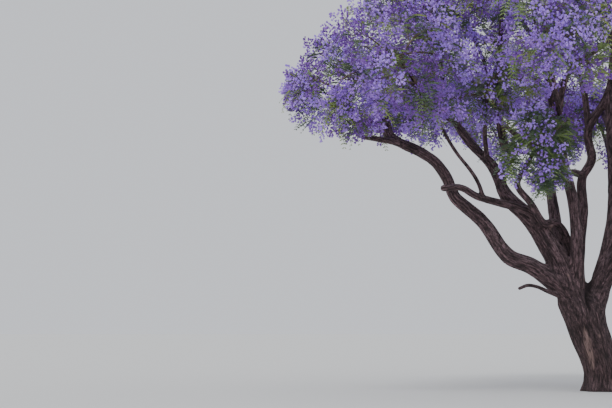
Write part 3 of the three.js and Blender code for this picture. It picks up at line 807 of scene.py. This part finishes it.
def grown_twig(mass, number, roll):
    """A twig from the mass's stem towards its own share of the mass's edge."""
    centre, reach = masses[mass]
    stem, heading, _ = stems[mass]
    level = 1 - 2 * (number + 0.5) / TWIGS
    turn = number * GOLDEN_ANGLE + 2 * roll()
    spread = math.sqrt(1 - level * level)
    across = reach[0] * spread
    way = np.array([across * math.cos(turn), across * math.sin(turn), reach[1] * level])
    target = centre + TWIG_REACH * way
    root = stem.at(TWIG_ROOTS[0] + TWIG_ROOTS[1] * roll())
    elbow = (root + target) / 2 + heading * TWIG_BOW * np.linalg.norm(target - root)
    return Curve([root, elbow, target], TWIG_THICK)


def grown_sprays(mass, sprays):
    """Where each of a mass's sprays starts, its way and its length, which is 0 for one without room."""
    twigs, places, shares, sizes, leafy = zip(*sprays)
    places, shares, leafy = np.array(places), np.array(shares), np.array(leafy)
    start = np.array([twig.at(share) for twig, share in zip(twigs, shares)])
    along = np.array([twig.along(share) for twig, share in zip(twigs, shares)])
    outward = unit(start - masses[mass][0])
    form = np.where(leafy[:, None], LEAF_SPRAY, BLOSSOM_SPRAY)
    settled_way, settled_length = np.zeros_like(start), np.zeros(len(start))
    for attempt in range(TRIES):
        aside = around(along, (places + attempt) * GOLDEN_ANGLE)
        side_way, end_way = (onward * along + lean * aside for onward, lean in (SIDE_SPRAY, END_SPRAY))
        way = unit(np.where(shares[:, None] < 1, side_way, end_way) + OUTWARD * outward)
        size = np.array(sizes) * SHRINK**attempt
        wide = start + way * (form[:, 0] * form[:, 1] * size)[:, None]
        half = (form[:, 2] * size)[:, None]
        edges = [wide + around(way, np.full(len(way), turn)) * half for turn in QUARTER_TURNS]
        corners = np.array([start + way * (form[:, 0] * size)[:, None], *edges])
        clear = in_space(mass, corners.reshape(-1, 3)) & (wood_gap(corners.reshape(-1, 3)) > 0)
        settles = clear.reshape(len(corners), -1).all(0) & (settled_length == 0)
        settled_way[settles] = way[settles]
        settled_length[settles] = (form[:, 0] * size)[settles]
    return start, settled_way, settled_length, leafy


def strands(spines, radii, sides):
    """The points and faces of many thin tubes at once, each along its own spine."""
    heading = unit(np.gradient(spines, axis=1))
    turns = np.linspace(0, 2 * math.pi, sides, endpoint=False)
    rings = [spines + around(heading, np.full(heading.shape[:2], turn)) * radii[..., None] for turn in turns]
    rings = np.stack(rings, axis=2)
    place = np.arange(rings[..., 0].size).reshape(rings.shape[:3])
    beside = np.roll(place, -1, axis=2)
    quads = np.stack([place[:, :-1], beside[:, :-1], beside[:, 1:], place[:, 1:]], axis=-1)
    return rings.reshape(-1, 3), quads.reshape(-1, 4)


def add_piece(name, parts, material):
    """One joined mesh of many small things, which stands for the masses with the other pieces like it."""
    points, faces, shift = [], [], 0
    for part_points, part_faces in parts:
        points.append(part_points)
        faces += (part_faces + shift).tolist()
        shift += len(part_points)
    mesh = bpy.data.meshes.new(name)
    mesh.from_pydata(np.concatenate(points), [], faces)
    mesh.materials.append(material)
    piece = put(name, mesh)
    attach(piece, "root")
    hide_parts(*masses)


twig_parts = []
grown = []
for mass in masses:
    roll = Dice(FIRST_SEED + SEED_STEP * stems[mass][2]).roll
    sprays = []
    for number in range(TWIGS):
        twig = grown_twig(mass, number, roll)
        sizes = []
        for _ in SPRAYS_ON_TWIG:
            sizes.append(SPRAY_SIZES[0] + SPRAY_SIZES[1] * roll())
            roll()  # tilts a leaf spray of the solids
        joints = np.array([twig.at(0.5), twig.at(1.0)])
        if not in_space(mass, joints).all() or (wood_gap(joints) < 0).any():
            continue
        shares = np.linspace(0, 1, TWIG_ROWS)
        twig_parts.append(strands(twig.at(shares)[None], twig.radius(shares)[None], TWIG_SIDES))
        for place, (share, size) in enumerate(zip(SPRAYS_ON_TWIG, sizes)):
            leafy = share < 1 and (number + place) % LEAF_EVERY == 0
            sprays.append((twig, number + 3 * place, share, size, leafy))
        for place, share in enumerate(SPRAYS_BETWEEN):
            leafy = (number + place) % LEAF_BETWEEN_IN.get(mass, LEAF_BETWEEN) == 0
            sprays.append((twig, number + 3 * place + 1.5, share, rng.uniform(*BETWEEN_SIZES), leafy))
    start, way, length, leafy = grown_sprays(mass, sprays)
    found = length > 0
    grown.append((np.full(found.sum(), mass), start[found], way[found], length[found], leafy[found]))
spray_mass, spray_start, spray_way, spray_length, spray_leafy = map(np.concatenate, zip(*grown))
spray_count = len(spray_mass)


def keeps_room(owner, points, clearance):
    """Which points are in their own mass's space and clear of the wood."""
    kept = wood_gap(points) > clearance
    for mass in masses:
        own = owner == mass
        kept[own] &= in_space(mass, points[own])
    return kept


shares = np.linspace(0, 1, SPRAY_ROWS)
bow = around(spray_way, rng.uniform(0, 2 * math.pi, spray_count)) * SPRAY_BOW * spray_length[:, None]
spine = spray_start[:, None] + (spray_way * spray_length[:, None])[:, None] * (SPRAY_STALK * shares[:, None])
spine += bow[:, None] * (4 * shares * (1 - shares))[:, None]
radii = SPRAY_THICK[0] + (SPRAY_THICK[1] - SPRAY_THICK[0]) * shares
twig_parts.append(strands(spine, np.tile(radii, (spray_count, 1)), FINE_SIDES))

# The twiglets, which carry the blossom and leaves. They leave each spray on all sides, and the last of them
# runs nearly straight on. One that would leave the mass's space or touch a limb is tried again, turned and
# made shorter.
TWIGLETS = 9
TWIGLET_THICK = (0.004, 0.0015)
TWIGLET_LENGTH = (0.12, 0.26)
TWIGLET_PLACES = (0.15, 0.6)  # of the first, and how much further the last is
TWIGLET_ONWARD = 0.6
TWIGLET_LEAN = 0.9
LAST_LEAN = 0.15
TWIGLET_STRAY = 0.18
TWIGLET_LIFT = (0, 0, 0.12)
FULL_TURN = 6.28
PANICLE_LENGTH = 0.32
PANICLE_MIDDLE = 0.3
PANICLE_STALK = 0.9
TIP_ROOM = 0.02  # the least gap between a panicle's tip and the wood
MIDDLE_ROOM = 0.05
number = np.arange(TWIGLETS)
share = TWIGLET_PLACES[0] + TWIGLET_PLACES[1] * number / (TWIGLETS - 1)
bent = bow[:, None] * (4 * share * (1 - share))[:, None]
walked = (spray_length[:, None] * SPRAY_STALK * share)[..., None]
start = spray_start[:, None] + spray_way[:, None] * walked + bent
owner = np.repeat(spray_mass, TWIGLETS)
spray_of = np.repeat(np.arange(spray_count), TWIGLETS)
start = start.reshape(-1, 3)
onward = np.repeat(spray_way, TWIGLETS, axis=0)
is_last = np.tile(number == TWIGLETS - 1, spray_count)
turn = np.tile(number * GOLDEN_ANGLE, spray_count)
turn = turn + np.repeat(rng.uniform(0, FULL_TURN, spray_count), TWIGLETS)
lean = np.where(is_last, LAST_LEAN, TWIGLET_LEAN)[:, None]
way = np.zeros_like(start)
length = np.zeros(len(start))
for attempt in range(TRIES):
    stray = rng.normal(0, TWIGLET_STRAY, start.shape)
    tried = unit(TWIGLET_ONWARD * onward + lean * around(onward, turn + attempt) + stray + TWIGLET_LIFT)
    size = rng.uniform(*TWIGLET_LENGTH, len(start)) * SHRINK**attempt
    tip = start + tried * (size + PANICLE_LENGTH)[:, None]
    middle = start + tried * (size + PANICLE_MIDDLE * PANICLE_LENGTH)[:, None]
    settles = (length == 0) & keeps_room(owner, tip, TIP_ROOM) & keeps_room(owner, middle, MIDDLE_ROOM)
    way[settles] = tried[settles]
    length[settles] = size[settles]
found = length > 0
start, way, length, spray_of = start[found], way[found], length[found], spray_of[found]
leafy = spray_leafy[spray_of]
stalk = length + np.where(leafy, 0, PANICLE_STALK * PANICLE_LENGTH)
spine = np.stack([start, start + way * stalk[:, None]], axis=1)
twig_parts.append(strands(spine, np.tile(TWIGLET_THICK, (len(start), 1)), FINE_SIDES))

TWIG_TONES = ("4c3b34", "867469")
twig_finish, nodes = finish("twig", roughness=0.9)
twig_place = nodes.add("ShaderNodeNewGeometry", None, None, "Position")
weathering = nodes.noise(twig_place, scale=5, detail=3, roughness=0.7)
weathering.above(0.35, sharpness=3.3).mixed(*map(rgba, TWIG_TONES)).feeds("Base Color")
add_piece("twigs", twig_parts, twig_finish)

# Blossom, in loose panicles at the twiglets' ends: open bells of five faces, which turn outwards and hang a
# little. Three violets are dealt out by spray.
BELLS = 13
BELL_CORNERS = 5
BELL_LENGTH = 0.062
BELL_MOUTH = 0.026
BELL_SIZES = (0.75, 1.2)
BELL_STRAY = 0.25
BELL_DROOP = (0, 0, 0.3)
BELL_TURN = 1.25
PANICLE_HALF = 0.24  # half its width at the root, as a share of its length
VIOLETS = {  # colour, and its share of the sprays
    "light": ("b38fe7", 0.34),
    "mid": ("9e76d0", 0.36),
    "deep": ("8053aa", 0.30),
}
PETAL_GLOW = 0.11


def thin_finish(name, code, roughness, glow):
    """A petal's or leaf's finish. A little glow of its own stands for the light that comes through it."""
    material, nodes = finish(name, roughness)
    inputs = nodes.tree.nodes["Principled BSDF"].inputs
    inputs["Base Color"].default_value = rgba(code)
    inputs["Emission Color"].default_value = rgba(code)
    inputs["Emission Strength"].default_value = glow
    return material


def panicles(root, way):
    """The bells of many panicles, set round each stalk and facing more along it towards the tip."""
    count = len(root)
    share = ((np.arange(BELLS) + rng.random((count, BELLS))) / BELLS)[..., None]
    turn = np.arange(BELLS) * GOLDEN_ANGLE + rng.uniform(0, FULL_TURN, (count, 1))
    way = np.repeat(way[:, None], BELLS, axis=1)
    aside = around(way, turn)
    foot = root[:, None] + (way * (0.1 + 0.85 * share) + aside * PANICLE_HALF * (1 - share)) * PANICLE_LENGTH
    facing = aside * (1 - 0.5 * share) + way * (0.2 + 0.6 * share) - BELL_DROOP
    facing = unit(facing + rng.normal(0, BELL_STRAY, foot.shape))
    size = rng.uniform(*BELL_SIZES, (count, BELLS, 1))
    spin = rng.uniform(0, BELL_TURN, (count, BELLS))
    rim = []
    for corner in range(BELL_CORNERS):
        mouth = around(facing, spin + corner * 2 * math.pi / BELL_CORNERS) * BELL_MOUTH
        rim.append(foot + (facing * BELL_LENGTH + mouth) * size)
    points = np.stack([foot, *rim], axis=2)
    fan = np.array([(0, 1 + corner, 1 + (corner + 1) % BELL_CORNERS) for corner in range(BELL_CORNERS)])
    faces = (1 + BELL_CORNERS) * np.arange(count * BELLS)[:, None, None] + fan
    return points.reshape(-1, 3), faces.reshape(-1, 3)


violet_of = rng.choice(list(VIOLETS), spray_count, p=[share for _, share in VIOLETS.values()])
for violet, (code, _) in VIOLETS.items():
    chosen = ~leafy & (violet_of[spray_of] == violet)
    material = thin_finish(f"blossom_{violet}", code, roughness=0.7, glow=PETAL_GLOW)
    root = start[chosen] + way[chosen] * length[chosen, None]
    add_piece(f"blossom_{violet}", [panicles(root, way[chosen])], material)

# Leaves, ferny and drooping: pairs of narrow leaflets along a stalk. They clothe the green sprays, and one
# stands under most of the panicles too. Three greens are dealt out by spray.
LEAF_LENGTH = (0.32, 0.46)
LEAF_FALL = 0.35
LEAF_STALK_HALF = 0.003
LEAFLET_PAIRS = 6
LEAFLET_PLACES = (0.2, 0.97)
LEAFLET_LENGTH = 0.12
LEAFLET_HALF = 0.016
LEAFLET_WIDEST = 0.45
LEAFLET_ONWARD = 0.4
LEAFLET_DROOP = (0, 0, 0.15)
LEAVES_ON_TWIGLET = 2
LEAVES_IN_HANGING = 3
LEAF_UNDER_BLOSSOM = 0.9
LEAF_ROOTS = (0.5, 1)  # on the outer half of a twiglet
LEAF_ONWARD = 0.5
LEAF_LIFT = (0, 0, 0.1)
LEAF_ROOM = 0.03
LEAF_GLOW = 0.09
GREENS = {  # colour, and its share of the sprays
    "dark": ("4c5c47", 0.42),
    "fresh": ("6b7f49", 0.36),
    "yellow": ("7f8e4a", 0.22),
}


def blades(roots, middles, tips, halves):
    """Thin pointed blades, each of two faces."""
    points = np.stack([roots, middles + halves, tips, middles - halves], axis=-2).reshape(-1, 3)
    faces = 4 * np.arange(len(points) // 4)[:, None, None] + np.array([(0, 1, 2), (0, 2, 3)])
    return points, faces.reshape(-1, 3)


def ferny_leaves(root, way, length):
    """Whole leaves with their stalks and leaflets, which are longest near the leaf's middle."""
    level, _ = square_to(way)

    def stalk(share):
        fall = LEAF_FALL * length * share**2
        return root + way * (length * share)[:, None] - fall[:, None] * np.array([0, 0, 1])

    parts = []
    for share in np.linspace(*LEAFLET_PLACES, LEAFLET_PAIRS):
        foot = stalk(np.full(len(root), share))
        heading = unit(foot - stalk(np.full(len(root), share - 0.05)))
        reach = LEAFLET_LENGTH * math.sin(math.pi * (0.18 + 0.72 * share)) ** 0.7
        for hand in (-1, 1):
            tip = foot + unit(level * hand + LEAFLET_ONWARD * heading - LEAFLET_DROOP) * reach
            widest = foot * (1 - LEAFLET_WIDEST) + tip * LEAFLET_WIDEST
            parts.append(blades(foot, widest, tip, heading * LEAFLET_HALF))
    tip = stalk(np.ones(len(root)))
    parts.append(blades(root, stalk(np.full(len(root), 0.5)), tip, level * LEAF_STALK_HALF))
    return parts


green_twiglets = np.flatnonzero(leafy)
is_hanging = spray_mass[spray_of[green_twiglets]] == "hanging_mass"
bearer = np.concatenate([
    np.repeat(green_twiglets, np.where(is_hanging, LEAVES_IN_HANGING, LEAVES_ON_TWIGLET)),
    np.flatnonzero(~leafy & (rng.random(len(leafy)) < LEAF_UNDER_BLOSSOM)),
])
leaf_aside = around(way[bearer], rng.uniform(0, FULL_TURN, len(bearer)))
leaf_way = unit(LEAF_ONWARD * way[bearer] + leaf_aside + LEAF_LIFT)
leaf_root = start[bearer] + way[bearer] * (length[bearer] * rng.uniform(*LEAF_ROOTS, len(bearer)))[:, None]
leaf_length = rng.uniform(*LEAF_LENGTH, len(bearer))
owner = spray_mass[spray_of[bearer]]
kept = keeps_room(owner, leaf_root + leaf_way * leaf_length[:, None], LEAF_ROOM)
green_of = rng.choice(list(GREENS), spray_count, p=[share for _, share in GREENS.values()])
green_of[(spray_mass == "hanging_mass") & (green_of == "yellow")] = "fresh"
for green, (code, _) in GREENS.items():
    chosen = kept & (green_of[spray_of[bearer]] == green)
    material = thin_finish(f"leaf_{green}", code, roughness=0.65, glow=LEAF_GLOW)
    parts = ferny_leaves(leaf_root[chosen], leaf_way[chosen], leaf_length[chosen])
    add_piece(f"leaves_{green}", parts, material)

# The floor, the light and the camera, which aren't part of the tree. The floor is a plain grey sheet level
# with the flat cut, the light is that of a bright overcast day, and the camera stands where the photograph
# was taken from.
FLOOR_HALF = 200
FLOOR_GREY = "d8d8d6"
SKY = "e6e9f0"
LIGHTS = [  # name, strength, and how soft, how low and how far round it is in degrees
    ("sun", 1.3, 25, 40, -35),
    ("fill", 0.75, 60, 80, -15),
]
floor_mesh = bpy.data.meshes.new("floor")
corners = [(-1, -1, 0), (1, -1, 0), (1, 1, 0), (-1, 1, 0)]
floor_mesh.from_pydata([FLOOR_HALF * Vector(corner) for corner in corners], [], [(0, 1, 2, 3)])
floor = put("floor", floor_mesh)
floor_finish, nodes = finish("floor", roughness=0.95)
nodes.tree.nodes["Principled BSDF"].inputs["Base Color"].default_value = rgba(FLOOR_GREY)
floor.data.materials.append(floor_finish)

world = bpy.data.worlds.new("sky")
world.use_nodes = True
world.node_tree.nodes["Background"].inputs["Color"].default_value = rgba(SKY)
bpy.context.scene.world = world
for name, energy, softness, tilt, turn in LIGHTS:
    light = put(name, bpy.data.lights.new(name, "SUN"))
    light.data.energy = energy
    light.data.angle = math.radians(softness)
    light.rotation_euler = (math.radians(tilt), 0, math.radians(turn))

CAMERA_PLACE = (-6.76, -32.0, 1.5)
LENS = 82
SENSOR = 36
PHOTO_SIZE = (612, 408)
HORIZON = 325  # the row of the photograph where level ground would end
camera = put("camera", bpy.data.cameras.new("camera"))
camera.data.lens = LENS
camera.data.sensor_width = SENSOR
camera.data.clip_end = 1000
camera.location = CAMERA_PLACE
tilt = math.atan((HORIZON - PHOTO_SIZE[1] / 2) / (LENS / SENSOR * PHOTO_SIZE[0]))
camera.rotation_euler = (math.radians(90) + tilt, 0, 0)
bpy.context.scene.camera = camera
